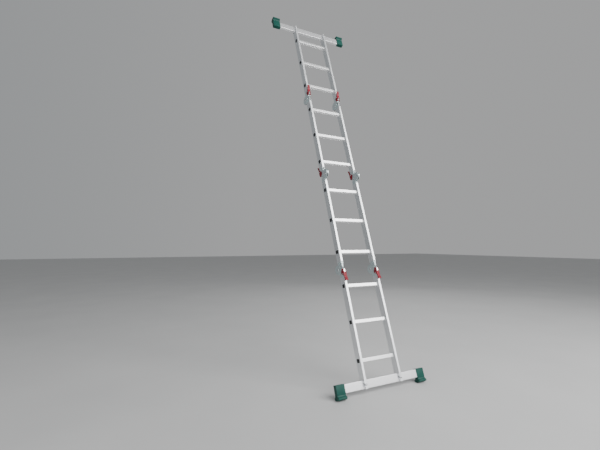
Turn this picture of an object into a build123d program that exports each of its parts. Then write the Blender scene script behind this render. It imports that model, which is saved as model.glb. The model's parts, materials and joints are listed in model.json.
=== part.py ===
from build123d import *

import os
from collections import namedtuple
from math import atan2, cos, degrees, radians, sin, tan

# Multi-position ladder: four hinged sections of three rungs, and a stabiliser bar at each end.
#
# The ladder is drawn upright: X runs along the rungs, Y from the climber to the wall, and Z up the
# stiles, with Z = 0 where its middle plane meets the floor. Each finished piece is then leaned back
# about the X axis, so the origin is on the floor, midway between the two lower feet.

os.makedirs("parts", exist_ok=True)

# ---------------------------------------------------------------- driving dimensions (mm, degrees)
LEAN = 20.0  # from upright, towards the wall

RUNG_PITCH = 280.0
RUNGS_PER_SECTION = 3
SECTIONS = 4
RUNG_SIDE = 27.0
RUNG_WALL = 1.6
RUNG_CORNER = 3.0
RUNG_GROOVES = 5
GROOVE_PITCH = 4.0
GROOVE_WIDTH = 1.0
GROOVE_DEPTH = 0.5
RUNG_CLEARANCE = 0.1

INNER_WIDTH = 300.0  # clear width between the stiles
STILE_WIDTH = 20.0
STILE_DEPTH = 60.0
STILE_WALL = 1.8
STILE_CORNER = 2.5

PLUG_FLANGE = 2.5
PLUG_OVERHANG = 0.5
PLUG_STEM = 14.0
PLUG_WALL = 2.0
PLUG_CLEARANCE = 0.1

BAR_LENGTH = 794.0
BAR_HEIGHT = 58.0
BAR_THICKNESS = 25.0
BAR_WALL = 2.0
BAR_CORNER = 2.5
BAR_TO_FIRST_RUNG = 162.0
LAST_RUNG_TO_BAR = 145.0
FORK_CLEARANCE = 0.5
BAR_TO_FLOOR = 43.0  # the lower edge of the bar above the floor, along the stiles

BAR_BOLT_RADIUS = 4.0
BOLT_CLEARANCE = 0.2
BAR_BOLT_HEAD_RADIUS = 9.0
BAR_BOLT_HEAD_HEIGHT = 5.0
BAR_NUT_ACROSS_FLATS = 13.0
BAR_NUT_HEIGHT = 6.5
BAR_SPACER_RADIUS = 8.0

FOOT_LENGTH = 71.0
FOOT_WALL = 3.3
FOOT_CLEARANCE = 0.2
FOOT_END_WALL = 3.0
FOOT_SKIRT = 4.0  # the sleeve's wall under the bar
PAD_NECK_DEPTH = 29.0
PAD_NECK_HEIGHT = 3.0
PAD_DEPTH = 56.0
PAD_FLARE_HEIGHT = 13.0
FOOT_ROUND = 3.0
SOLE_FLAT = 20.0  # the width of the sole's middle facet
TREAD_GROOVES = 6
TREAD_GROOVE_WIDTH = 3.5
TREAD_GROOVE_DEPTH = 2.0

LEVER_STILE_END = 72.0  # the end of the stile that carries the lever, from the hinge pin
NOTCHED_STILE_END = 56.0  # and of the one that carries the notched plates
PIVOT_STAND_OFF = 12.0  # the hinge pin beyond the stile's face, half the folded gap
DISC_RADIUS = 38.0
NOTCHED_RADIUS = 36.0
PLATE = 3.0
PLATE_SIDE_CLEARANCE = 0.1  # between a plate and the stile wall beside it
LEAF_CLEARANCE = 0.3  # between the plates that turn past each other
ARM_CLEARANCE = 0.4
ARM_TO_RUNG = 3.0
CHEEK_LIP = 8.0  # how far the cheek plates run past the pin's level
CHEEK_CORNER = 12.0
NOTCHED_LIP = 12.0
JOGGLE_FROM = 43.0
JOGGLE_LENGTH = 4.0
PIVOT_RADIUS = 6.0
PIVOT_CLEARANCE = 0.05
PIVOT_HEAD_RADIUS = 12.0
PIVOT_HEAD_HEIGHT = 4.0
PIVOT_NUT_ACROSS_FLATS = 19.0
PIVOT_NUT_HEIGHT = 5.0
BUSH_RADIUS = 11.0

LOCK_ANGLES = (0.0, 35.0, 90.0, 180.0)  # fold angles with a notch: straight, steps, scaffold, shut
BOLT_OUT_OF_NOTCH = 0.3  # the lock bolt is drawn released, with its nose this far from the plates
NOTCH_DEPTH = 5.8
NOTCH_WIDTH = 10.0
NOTCH_CLEARANCE = 0.3
BOLT_HEIGHT = 12.0
CATCH_ALONG = 22.0  # the cross pin from the hinge pin's level, along the stile
CATCH_PROUD = 3.0  # and out from the stile's face
CATCH_ARM = 26.4  # from the cross pin to the pin that the lever turns on
CROSS_PIN_RADIUS = 2.5
CROSS_PIN_CLEARANCE = 0.2
CROSS_PIN_SLOT = 1.6
PRESS_FIT_CLEARANCE = 0.02
TAB_LENGTH = 24.0
TAB_THICKNESS = 3.0
TAB_PROUD = 7.0  # the tab's underside from the stile's face
GUIDE_RADIUS = 3.0
GUIDE_CLEARANCE = 0.2
GUIDE_STATIONS = (44.0, 56.0)  # from the hinge pin, along the lock bolt

LEVER_WALL = 4.5
LEVER_SIDE_CLEARANCE = 0.3
LEVER_PIN_RADIUS = 3.0
LEVER_PIN_CLEARANCE = 0.1
LEVER_PIN_HEAD = 1.5
LEVER_SKIN = 4.0
FORK_LENGTH = 36.0
LEVER_CAVITY = 66.0
LEVER_ROUND = 2.5
# The lever from the side: along the stile from the hinge pin, and out from the stile's face.
LEVER_OUTLINE = (
    (5.0, -9.0),
    (5.0, 5.0),
    (24.0, 10.0),
    (60.0, 9.5),
    (104.0, 20.5),
    (103.0, 15.0),
    (68.0, 5.8),
    (57.0, -5.0),
    (51.0, -17.0),
    (42.0, -26.0),
    (32.0, -26.0),
    (15.0, -15.0),
)

SPRING_COIL_RADIUS = 6.0
SPRING_COIL_BORE = 4.2
SPRING_COIL_LENGTH = 10.0
SPRING_WIRE_RADIUS = 0.8

GUARD_RIM = 39.5
GUARD_RADIUS = 33.0
GUARD_CLEARANCE = 0.3
GUARD_RIM_FROM = 185.0  # degrees round the pin, from V towards U
GUARD_RIM_TO = 255.0

RIVET_RADIUS = 3.0
RIVET_CLEARANCE = 0.1
RIVET_HEAD_RADIUS = 5.5
RIVET_HEAD_HEIGHT = 2.2
RIVET_EDGE = 12.0
RIVET_SPREAD = 15.0

# ---------------------------------------------------------------- places worked out from them
STILE_X = (INNER_WIDTH + STILE_WIDTH) / 2
OUTER_WIDTH = INNER_WIDTH + 2 * STILE_WIDTH
BAR_Z = BAR_TO_FLOOR + BAR_HEIGHT / 2
FIRST_RUNG_Z = BAR_Z + BAR_TO_FIRST_RUNG
LAST_RUNG_Z = FIRST_RUNG_Z + RUNG_PITCH * (SECTIONS * RUNGS_PER_SECTION - 1)
TOP_BAR_Z = LAST_RUNG_Z + LAST_RUNG_TO_BAR
PIVOT_Y = STILE_DEPTH / 2 + PIVOT_STAND_OFF
SIDES = {"left": -1, "right": 1}

# Across a stile, from its middle plane: the cheek plates lie on the stile's inner walls, and the
# notched plates turn between them.
CHEEK_OUT = STILE_WIDTH / 2 - STILE_WALL - PLATE_SIDE_CLEARANCE
CHEEK_IN = CHEEK_OUT - PLATE
NOTCHED_OUT = CHEEK_IN - LEAF_CLEARANCE
NOTCHED_IN = NOTCHED_OUT - PLATE

# A hinge seen from the side, from its pin: U runs along the stile that carries the lever, and V out
# of the ladder's face on the lever's side.
FACE_V = PIVOT_Y + STILE_DEPTH / 2
ARM_LOW_V = PIVOT_STAND_OFF + STILE_WALL + ARM_CLEARANCE
ARM_HIGH_V = FACE_V - STILE_WALL - ARM_CLEARANCE
ARM_END = RUNG_PITCH / 2 - RUNG_SIDE / 2 - ARM_TO_RUNG
CATCH = Vector(CATCH_ALONG, FACE_V + CATCH_PROUD)
BOLT_ANGLE = degrees(atan2(CATCH.X, CATCH.Y))
BOLT_WAY = Vector(sin(radians(BOLT_ANGLE)), cos(radians(BOLT_ANGLE)))
BOLT_ACROSS = Vector(BOLT_WAY.Y, -BOLT_WAY.X)
FULCRUM = CATCH + BOLT_ACROSS * CATCH_ARM
GUIDE_OFFSET = BOLT_HEIGHT / 2 + GUIDE_CLEARANCE + GUIDE_RADIUS
GUIDES = [
    BOLT_WAY * along + BOLT_ACROSS * across
    for along in GUIDE_STATIONS
    for across in (-GUIDE_OFFSET, GUIDE_OFFSET)
]
RIVET_V = (PIVOT_Y - RIVET_SPREAD, PIVOT_Y + RIVET_SPREAD)
RIVET_U = (LEVER_STILE_END + RIVET_EDGE, ARM_END - RIVET_EDGE + RIVET_RADIUS)
ARM_RIVETS = [(u, v) for u in RIVET_U for v in RIVET_V]
LEVER_IN = CHEEK_OUT + LEVER_SIDE_CLEARANCE
LEVER_OUT = LEVER_IN + LEVER_WALL

# fold is +1 where the two sections fold back to back, and -1 where they fold front to front.
# lever is +1 where the lever is on the section above the pin, and -1 where it is on the one below.
Hinge = namedtuple("Hinge", "name below above z fold lever")


def pin_height(number):
    """The height of the hinge pins between a section and the one above it."""
    return FIRST_RUNG_Z + RUNG_PITCH * (RUNGS_PER_SECTION * number - 0.5)


HINGES = [
    Hinge("lower", 1, 2, pin_height(1), 1, -1),
    Hinge("middle", 2, 3, pin_height(2), -1, 1),
    Hinge("upper", 3, 4, pin_height(3), 1, 1),
]


def write(piece, name):
    """Lean a finished piece with the ladder and write it as its own node."""
    piece.part.move(Location((0, 0, 0), (-LEAN, 0, 0)))
    piece.part.label = name
    export_step(piece.part, f"parts/{name}.step")


def rung_heights(number):
    """The heights of one section's rungs; sections count from 1 at the floor."""
    first = FIRST_RUNG_Z + RUNG_PITCH * RUNGS_PER_SECTION * (number - 1)
    return [first + RUNG_PITCH * step for step in range(RUNGS_PER_SECTION)]


def hinge_plane(hinge, x):
    """A hinge's own plane: its origin on the pin, U and V as described above."""
    along = (0, 0, hinge.lever)
    normal = (hinge.lever * hinge.fold, 0, 0)
    return Plane(origin=(x, hinge.fold * PIVOT_Y, hinge.z), x_dir=along, z_dir=normal)


def pair(plane, inner, outer):
    """The two starting planes of a pair of plates, one each side of a stile's middle plane."""
    return plane.offset(inner), plane.offset(-outer)


def lever_ends(number):
    """A section's hinge ends: the hinge, and the way its arm runs along U."""
    ends = []
    for hinge in HINGES:
        if number in (hinge.below, hinge.above):
            holds_lever = number == (hinge.above if hinge.lever > 0 else hinge.below)
            ends.append((hinge, 1 if holds_lever else -1))
    return ends


# ---------------------------------------------------------------- stiles
def stile(number, side):
    """One stile: a box tube with rung holes, rivet holes, and a fork where a bar passes."""
    heights = rung_heights(number)
    bottom, top = BAR_Z - BAR_HEIGHT / 2, TOP_BAR_Z + BAR_HEIGHT / 2
    for hinge, way in lever_ends(number):
        end = LEVER_STILE_END if way > 0 else NOTCHED_STILE_END
        if number == hinge.above:
            bottom = hinge.z + end
        else:
            top = hinge.z - end
    with BuildPart() as tube:
        with BuildSketch(Plane.XY.offset(bottom)):
            with Locations((side * STILE_X, 0)):
                RectangleRounded(STILE_WIDTH, STILE_DEPTH, STILE_CORNER)
                Rectangle(STILE_WIDTH - 2 * STILE_WALL, STILE_DEPTH - 2 * STILE_WALL, mode=Mode.SUBTRACT)
        extrude(amount=top - bottom)
        with BuildSketch(Plane.YZ.offset(side * STILE_X)):
            with Locations(*[(0, height) for height in heights]):
                hole = RUNG_SIDE + 2 * RUNG_CLEARANCE
                RectangleRounded(hole, hole, RUNG_CORNER)
        extrude(amount=STILE_WIDTH, both=True, mode=Mode.SUBTRACT)
        for hinge, way in lever_ends(number):
            with BuildSketch(hinge_plane(hinge, side * STILE_X)):
                with Locations(*[(way * u, v) for u, v in ARM_RIVETS]):
                    Circle(RIVET_RADIUS + RIVET_CLEARANCE)
            extrude(amount=STILE_WIDTH, both=True, mode=Mode.SUBTRACT)
        if number in (1, SECTIONS):
            bar_z = BAR_Z if number == 1 else TOP_BAR_Z
            notch = BAR_HEIGHT + 2 * FORK_CLEARANCE
            with BuildSketch(Plane.YZ.offset(side * STILE_X)):
                with Locations((0, bar_z)):
                    Rectangle(STILE_DEPTH - 2 * STILE_WALL, notch)
            extrude(amount=STILE_WIDTH, both=True, mode=Mode.SUBTRACT)
            with BuildSketch(Plane.XZ):
                with Locations((side * STILE_X, bar_z)):
                    Circle(BAR_BOLT_RADIUS + BOLT_CLEARANCE)
            extrude(amount=STILE_DEPTH, both=True, mode=Mode.SUBTRACT)
    return tube


for number in range(1, SECTIONS + 1):
    for side_name, side in SIDES.items():
        write(stile(number, side), f"section_{number}_{side_name}_stile")


# ---------------------------------------------------------------- rungs and their plugs
def rungs(number):
    """A section's rungs: square tubes through both stiles, grooved on both treads."""
    with BuildPart() as tubes:
        with BuildSketch(Plane.YZ.offset(-OUTER_WIDTH / 2)):
            for height in rung_heights(number):
                with Locations((0, height)):
                    RectangleRounded(RUNG_SIDE, RUNG_SIDE, RUNG_CORNER)
                    bore = RUNG_SIDE - 2 * RUNG_WALL
                    Rectangle(bore, bore, mode=Mode.SUBTRACT)
                with Locations((0, height - RUNG_SIDE / 2), (0, height + RUNG_SIDE / 2)):
                    with GridLocations(GROOVE_PITCH, 0, RUNG_GROOVES, 1):
                        Rectangle(GROOVE_WIDTH, 2 * GROOVE_DEPTH, mode=Mode.SUBTRACT)
        extrude(amount=OUTER_WIDTH)
    return tubes


def rung_plugs(number):
    """The six plugs that close a section's rung ends: a flange outside and a hollow stem inside."""
    flange = RUNG_SIDE + 2 * PLUG_OVERHANG
    stem = RUNG_SIDE - 2 * RUNG_WALL - 2 * PLUG_CLEARANCE
    with BuildPart() as plugs:
        for side in SIDES.values():
            end = Plane(origin=(side * OUTER_WIDTH / 2, 0, 0), x_dir=(0, 1, 0), z_dir=(side, 0, 0))
            places = [(0, side * height) for height in rung_heights(number)]
            with BuildSketch(end):
                with Locations(*places):
                    RectangleRounded(flange, flange, RUNG_CORNER)
            extrude(amount=PLUG_FLANGE, taper=20)
            with BuildSketch(end):
                with Locations(*places):
                    Rectangle(stem, stem)
                    Rectangle(stem - 2 * PLUG_WALL, stem - 2 * PLUG_WALL, mode=Mode.SUBTRACT)
            extrude(amount=-PLUG_STEM)
    return plugs


def arm_rivets(number):
    """A section's rivets: through the hinge arms in its stile ends, and the lock bolts' guides."""
    grip = STILE_WIDTH / 2
    with BuildPart() as rivets:
        for side in SIDES.values():
            for hinge, way in lever_ends(number):
                plane = hinge_plane(hinge, side * STILE_X)
                places = [(way * u, v) for u, v in ARM_RIVETS]
                with BuildSketch(plane):
                    with Locations(*places):
                        Circle(RIVET_RADIUS)
                extrude(amount=grip, both=True)
                for outward in (1, -1):
                    with BuildSketch(plane.offset(outward * grip)):
                        with Locations(*places):
                            Circle(RIVET_HEAD_RADIUS)
                    extrude(amount=outward * RIVET_HEAD_HEIGHT, taper=30)
                if way > 0:
                    with BuildSketch(plane):
                        with Locations(*[(guide.X, guide.Y) for guide in GUIDES]):
                            Circle(GUIDE_RADIUS)
                    extrude(amount=CHEEK_OUT, both=True)
    return rivets


for number in range(1, SECTIONS + 1):
    write(rungs(number), f"section_{number}_rungs")
    write(rung_plugs(number), f"section_{number}_rung_plugs")
    write(arm_rivets(number), f"section_{number}_rivets")


# ---------------------------------------------------------------- stabiliser bars, bolts and feet
def stabiliser_bar(bar_z):
    """A rectangular tube on edge, bolted through both stiles' forks."""
    with BuildPart() as bar:
        with BuildSketch(Plane.YZ.offset(-BAR_LENGTH / 2)):
            with Locations((0, bar_z)):
                RectangleRounded(BAR_THICKNESS, BAR_HEIGHT, BAR_CORNER)
                Rectangle(BAR_THICKNESS - 2 * BAR_WALL, BAR_HEIGHT - 2 * BAR_WALL, mode=Mode.SUBTRACT)
        extrude(amount=BAR_LENGTH)
        with BuildSketch(Plane.XZ):
            with Locations(*[(side * STILE_X, bar_z) for side in SIDES.values()]):
                Circle(BAR_BOLT_RADIUS + BOLT_CLEARANCE)
        extrude(amount=BAR_THICKNESS, both=True, mode=Mode.SUBTRACT)
    return bar


def bar_fixings(bar_z):
    """The bolts that hold a bar, each with its nut and two tubes that fill the fork's gap."""
    face = STILE_DEPTH / 2
    wall_inside = face - STILE_WALL
    bore = BAR_BOLT_RADIUS + BOLT_CLEARANCE
    places = [(side * STILE_X, bar_z) for side in SIDES.values()]
    with BuildPart() as fixings:
        with BuildSketch(Plane.XZ.offset(face)):
            with Locations(*places):
                Circle(BAR_BOLT_HEAD_RADIUS)
        extrude(amount=BAR_BOLT_HEAD_HEIGHT, taper=25)
        with BuildSketch(Plane.XZ.offset(face)):
            with Locations(*places):
                Circle(BAR_BOLT_RADIUS)
        extrude(amount=-(STILE_DEPTH + BAR_NUT_HEIGHT + 2))
        with BuildSketch(Plane.XZ.offset(-face)):
            with Locations(*places):
                RegularPolygon(BAR_NUT_ACROSS_FLATS / 2, 6, major_radius=False)
                Circle(bore, mode=Mode.SUBTRACT)
        extrude(amount=-BAR_NUT_HEIGHT)
        for start in (wall_inside, -BAR_THICKNESS / 2):
            with BuildSketch(Plane.XZ.offset(start)):
                with Locations(*places):
                    Circle(BAR_SPACER_RADIUS)
                    Circle(bore, mode=Mode.SUBTRACT)
            extrude(amount=-(wall_inside - BAR_THICKNESS / 2))
    return fixings


def sole_line(reach, lift):
    """The sole's profile from edge to edge: a flat facet between two that suit the lean."""
    rise = tan(radians(LEAN))
    return [(y, abs(y) * rise + lift) for y in (-reach, -SOLE_FLAT / 2, SOLE_FLAT / 2, reach)]


def foot(side, at_top):
    """A foot: a sleeve on the bar's end over a flared pad, its sole faceted to suit the lean.

    It is drawn on the right-hand end of the lower bar, then mirrored to where it belongs.
    """
    start_x = BAR_LENGTH / 2 + FOOT_END_WALL - FOOT_LENGTH
    sleeve_depth = BAR_THICKNESS + 2 * (FOOT_CLEARANCE + FOOT_WALL)
    sleeve_top = BAR_Z + BAR_HEIGHT / 2 + FOOT_CLEARANCE + FOOT_WALL
    neck_top = BAR_Z - BAR_HEIGHT / 2 - FOOT_CLEARANCE - FOOT_SKIRT
    neck_low = neck_top - PAD_NECK_HEIGHT
    flare_low = neck_low - PAD_FLARE_HEIGHT
    past_edge = PAD_DEPTH / 2 + TREAD_GROOVE_DEPTH
    with BuildPart() as cap:
        with BuildSketch(Plane.YZ.offset(start_x)):
            with Locations((0, (sleeve_top + neck_top) / 2)):
                RectangleRounded(sleeve_depth, sleeve_top - neck_top, FOOT_WALL)
        extrude(amount=FOOT_LENGTH)
        with BuildSketch(Plane.YZ.offset(start_x)):
            with BuildLine():
                flare = [
                    (PAD_DEPTH / 2, flare_low),
                    (sleeve_depth / 2, neck_low),
                    (-sleeve_depth / 2, neck_low),
                    (-PAD_DEPTH / 2, flare_low),
                ]
                Polyline(*sole_line(PAD_DEPTH / 2, 0), *flare, close=True)
            make_face()
        extrude(amount=FOOT_LENGTH)
        outer_ends = cap.faces().filter_by(Axis.X).group_by(Axis.X)[-1]
        fillet(outer_ends.edges(), FOOT_ROUND)
        with BuildSketch(Plane.YZ.offset(start_x)):
            with Locations((0, (neck_top + neck_low) / 2)):
                Rectangle(PAD_NECK_DEPTH, neck_top - neck_low + 2 * FOOT_ROUND)
        extrude(amount=FOOT_LENGTH - (sleeve_depth - PAD_NECK_DEPTH) / 2)
        tread_pitch = FOOT_LENGTH / (TREAD_GROOVES + 1)
        for groove in range(1, TREAD_GROOVES + 1):
            with BuildSketch(Plane.YZ.offset(start_x + groove * tread_pitch - TREAD_GROOVE_WIDTH / 2)):
                with BuildLine():
                    below = sole_line(past_edge, -TREAD_GROOVE_DEPTH)
                    inside = sole_line(past_edge, TREAD_GROOVE_DEPTH)
                    Polyline(*below, *reversed(inside), close=True)
                make_face()
            extrude(amount=TREAD_GROOVE_WIDTH, mode=Mode.SUBTRACT)
        with BuildSketch(Plane.YZ.offset(start_x)):
            with Locations((0, BAR_Z)):
                pocket = (BAR_THICKNESS + 2 * FOOT_CLEARANCE, BAR_HEIGHT + 2 * FOOT_CLEARANCE)
                RectangleRounded(*pocket, BAR_CORNER)
        extrude(amount=FOOT_LENGTH - FOOT_END_WALL + FOOT_CLEARANCE, mode=Mode.SUBTRACT)
        if side < 0:
            mirror(about=Plane.YZ, mode=Mode.REPLACE)
        if at_top:
            mirror(about=Plane.XY.offset((BAR_Z + TOP_BAR_Z) / 2), mode=Mode.REPLACE)
    return cap


for level, bar_z in (("lower", BAR_Z), ("upper", TOP_BAR_Z)):
    write(stabiliser_bar(bar_z), f"{level}_stabiliser_bar")
    write(bar_fixings(bar_z), f"{level}_bar_fixings")
    for side_name, side in SIDES.items():
        write(foot(side, level == "upper"), f"{level}_{side_name}_foot")


# ---------------------------------------------------------------- hinge outlines in U and V
with BuildSketch() as cheek_outline:
    Circle(DISC_RADIUS)
    with Locations((-CHEEK_LIP, ARM_LOW_V)):
        Rectangle(ARM_END + CHEEK_LIP, ARM_HIGH_V - ARM_LOW_V, align=(Align.MIN, Align.MIN))
    fillet(cheek_outline.vertices().group_by(Axis.X)[0].sort_by(Axis.Y)[-1], CHEEK_CORNER)
    with Locations((FULCRUM.X, FULCRUM.Y)):
        Circle(2 * LEVER_PIN_RADIUS + 1)
    Circle(PIVOT_RADIUS + PIVOT_CLEARANCE, mode=Mode.SUBTRACT)
    with Locations((FULCRUM.X, FULCRUM.Y)):
        Circle(LEVER_PIN_RADIUS + PRESS_FIT_CLEARANCE, mode=Mode.SUBTRACT)
    with Locations(*[(guide.X, guide.Y) for guide in GUIDES]):
        Circle(GUIDE_RADIUS + PRESS_FIT_CLEARANCE, mode=Mode.SUBTRACT)
    with Locations(*ARM_RIVETS):
        Circle(RIVET_RADIUS + RIVET_CLEARANCE, mode=Mode.SUBTRACT)

# The notched plates: a disc with a notch for each locked angle, and the start of the arm.
with BuildSketch() as notched_outline:
    Circle(NOTCHED_RADIUS)
    with Locations((-JOGGLE_FROM - JOGGLE_LENGTH, ARM_LOW_V)):
        arm_start = JOGGLE_FROM + JOGGLE_LENGTH - NOTCHED_LIP
        Rectangle(arm_start, ARM_HIGH_V - ARM_LOW_V, align=(Align.MIN, Align.MIN))
    Circle(PIVOT_RADIUS + PIVOT_CLEARANCE, mode=Mode.SUBTRACT)
    for angle in LOCK_ANGLES:
        way = radians(BOLT_ANGLE + angle)
        centre = NOTCHED_RADIUS
        with Locations(Location((centre * sin(way), centre * cos(way), 0), -(BOLT_ANGLE + angle))):
            Rectangle(NOTCH_WIDTH, 2 * NOTCH_DEPTH, mode=Mode.SUBTRACT)

# The outer half of a notched plate's arm, which lies on the stile's inner wall.
with BuildSketch() as arm_outline:
    with Locations((-ARM_END, ARM_LOW_V)):
        Rectangle(ARM_END - JOGGLE_FROM, ARM_HIGH_V - ARM_LOW_V, align=(Align.MIN, Align.MIN))
    with Locations(*[(-u, v) for u, v in ARM_RIVETS]):
        Circle(RIVET_RADIUS + RIVET_CLEARANCE, mode=Mode.SUBTRACT)

with BuildSketch() as joggle_outline:
    with Locations((-JOGGLE_FROM - JOGGLE_LENGTH, ARM_LOW_V)):
        Rectangle(JOGGLE_LENGTH, ARM_HIGH_V - ARM_LOW_V, align=(Align.MIN, Align.MIN))


# ---------------------------------------------------------------- hinge pieces
def cheek_plates(hinge):
    """The outer plates of a pair of hinges: two to a stile, each a disc with a broad arm."""
    with BuildPart() as plates:
        for side in SIDES.values():
            with BuildSketch(*pair(hinge_plane(hinge, side * STILE_X), CHEEK_IN, CHEEK_OUT)):
                add(cheek_outline.sketch)
            extrude(amount=PLATE)
    return plates


def notched_plate(hinge, side):
    """The plates that turn between the cheeks, pressed outwards to meet the stile's walls."""
    plane = hinge_plane(hinge, side * STILE_X)
    with BuildPart() as plates:
        with BuildSketch(*pair(plane, NOTCHED_IN, NOTCHED_OUT)):
            add(notched_outline.sketch)
        extrude(amount=PLATE)
        with BuildSketch(*pair(plane, CHEEK_IN, CHEEK_OUT)):
            add(arm_outline.sketch)
        extrude(amount=PLATE)
        with BuildSketch(*pair(plane, NOTCHED_IN, CHEEK_OUT)):
            add(joggle_outline.sketch)
        extrude(amount=CHEEK_OUT - NOTCHED_IN)
        with BuildSketch(plane):
            Circle(BUSH_RADIUS)
            Circle(PIVOT_RADIUS + PIVOT_CLEARANCE, mode=Mode.SUBTRACT)
        extrude(amount=NOTCHED_IN, both=True)
    return plates


def lock_bolt(hinge, side):
    """The bolt whose nose drops into a notch, with the tab on its outer end and its cross pin."""
    plane = hinge_plane(hinge, side * STILE_X)
    nose_start = NOTCHED_RADIUS + BOLT_OUT_OF_NOTCH
    nose_end = nose_start + NOTCH_DEPTH
    turn = 90 - BOLT_ANGLE
    tab_v = FACE_V + TAB_PROUD
    stem_end = (tab_v + TAB_THICKNESS / 3) / BOLT_WAY.Y
    with BuildPart() as bolt:
        with BuildSketch(plane):
            nose = BOLT_WAY * ((nose_start + nose_end) / 2)
            with Locations(Location((nose.X, nose.Y, 0), turn)):
                Rectangle(nose_end - nose_start, NOTCH_WIDTH - 2 * NOTCH_CLEARANCE)
            stem = BOLT_WAY * ((nose_end + stem_end) / 2)
            with Locations(Location((stem.X, stem.Y, 0), turn)):
                Rectangle(stem_end - nose_end, BOLT_HEIGHT)
            with Locations((CATCH.X, tab_v + TAB_THICKNESS / 2)):
                Rectangle(TAB_LENGTH, TAB_THICKNESS)
            with Locations((CATCH.X, CATCH.Y)):
                Circle(CROSS_PIN_RADIUS + PRESS_FIT_CLEARANCE, mode=Mode.SUBTRACT)
        extrude(amount=NOTCHED_OUT, both=True)
        with BuildSketch(plane):
            with Locations((CATCH.X, CATCH.Y)):
                Circle(CROSS_PIN_RADIUS)
        extrude(amount=LEVER_OUT - LEVER_SIDE_CLEARANCE, both=True)
    return bolt


def lever(hinge, side):
    """The release lever: a fork over the lock bolt's tab, and a blade that stands off the stile."""
    plane = hinge_plane(hinge, side * STILE_X)
    outline = [(u, FACE_V + proud) for u, proud in LEVER_OUTLINE]
    slot_centre = CATCH - BOLT_ACROSS * (CROSS_PIN_SLOT / 4)
    with BuildPart() as handle:
        with BuildSketch(plane) as profile:
            with BuildLine():
                Polyline(*outline, close=True)
            make_face()
            fillet(profile.vertices(), LEVER_ROUND)
        extrude(amount=LEVER_OUT, both=True)
        with BuildSketch(plane):
            with Locations((0, ARM_LOW_V)):
                Rectangle(FORK_LENGTH, 2 * FACE_V, align=(Align.MIN, Align.MIN))
            with BuildLine():
                (fork_u, fork_proud), (bend_u, bend_proud) = LEVER_OUTLINE[2], LEVER_OUTLINE[3]
                Polyline(
                    (fork_u, ARM_LOW_V),
                    (fork_u, FACE_V + fork_proud - LEVER_SKIN),
                    (bend_u, FACE_V + bend_proud - LEVER_SKIN),
                    (LEVER_CAVITY, FACE_V + bend_proud - LEVER_SKIN),
                    (LEVER_CAVITY, ARM_LOW_V),
                    close=True,
                )
            make_face()
        extrude(amount=LEVER_IN, both=True, mode=Mode.SUBTRACT)
        with BuildSketch(plane):
            with Locations((FULCRUM.X, FULCRUM.Y)):
                Circle(LEVER_PIN_RADIUS + LEVER_PIN_CLEARANCE)
            with Locations(Location((slot_centre.X, slot_centre.Y, 0), -BOLT_ANGLE)):
                SlotCenterToCenter(CROSS_PIN_SLOT, 2 * (CROSS_PIN_RADIUS + CROSS_PIN_CLEARANCE))
        extrude(amount=LEVER_OUT, both=True, mode=Mode.SUBTRACT)
    return handle


def hinge_pins(hinge):
    """A pair's pivot bolts with their nuts, and the pins that the levers turn on."""
    with BuildPart() as pins:
        for side in SIDES.values():
            plane = hinge_plane(hinge, side * STILE_X)
            outward = side * plane.z_dir.X
            with BuildSketch(plane):
                Circle(PIVOT_RADIUS)
            extrude(amount=CHEEK_OUT + PIVOT_NUT_HEIGHT + 1, both=True)
            with BuildSketch(plane.offset(outward * CHEEK_OUT)):
                Circle(PIVOT_HEAD_RADIUS)
            extrude(amount=outward * PIVOT_HEAD_HEIGHT, taper=25)
            with BuildSketch(plane.offset(-outward * CHEEK_OUT)):
                RegularPolygon(PIVOT_NUT_ACROSS_FLATS / 2, 6, major_radius=False)
                Circle(PIVOT_RADIUS + PIVOT_CLEARANCE, mode=Mode.SUBTRACT)
            extrude(amount=-outward * PIVOT_NUT_HEIGHT)
            with BuildSketch(plane):
                with Locations((FULCRUM.X, FULCRUM.Y)):
                    Circle(LEVER_PIN_RADIUS)
            extrude(amount=LEVER_OUT, both=True)
            for way in (1, -1):
                with BuildSketch(plane.offset(way * LEVER_OUT)):
                    with Locations((FULCRUM.X, FULCRUM.Y)):
                        Circle(LEVER_PIN_RADIUS + LEVER_PIN_HEAD)
                extrude(amount=way * LEVER_PIN_HEAD, taper=20)
    return pins


def hinge_guards(hinge):
    """A plastic ring between each hinge's notched plates: its rim shows between the cheeks."""
    thickness = NOTCHED_IN - GUARD_CLEARANCE
    with BuildPart() as guards:
        for side in SIDES.values():
            plane = hinge_plane(hinge, side * STILE_X)
            with BuildSketch(plane):
                Circle(GUARD_RADIUS)
                with BuildLine():
                    rim_arc = CenterArc((0, 0), GUARD_RIM, 90 - GUARD_RIM_TO, GUARD_RIM_TO - GUARD_RIM_FROM)
                    Polyline(rim_arc @ 1, (0, 0), rim_arc @ 0)
                make_face()
                lug = GUIDES[1]
                with Locations(Location((lug.X / 2, lug.Y / 2, 0), degrees(atan2(lug.Y, lug.X)))):
                    Rectangle(lug.length + 4 * GUIDE_RADIUS, 4 * GUIDE_RADIUS)
                Circle(BUSH_RADIUS + GUARD_CLEARANCE, mode=Mode.SUBTRACT)
                with Locations((lug.X, lug.Y)):
                    Circle(GUIDE_RADIUS + GUARD_CLEARANCE, mode=Mode.SUBTRACT)
                slot_start = NOTCHED_RADIUS - NOTCH_DEPTH - GUARD_CLEARANCE
                slot_end = lug.length + 4 * GUIDE_RADIUS
                slot = BOLT_WAY * ((slot_start + slot_end) / 2)
                with Locations(Location((slot.X, slot.Y, 0), 90 - BOLT_ANGLE)):
                    slot_height = BOLT_HEIGHT + 2 * GUARD_CLEARANCE
                    Rectangle(slot_end - slot_start, slot_height, mode=Mode.SUBTRACT)
            extrude(amount=thickness, both=True)
    return guards


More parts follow.
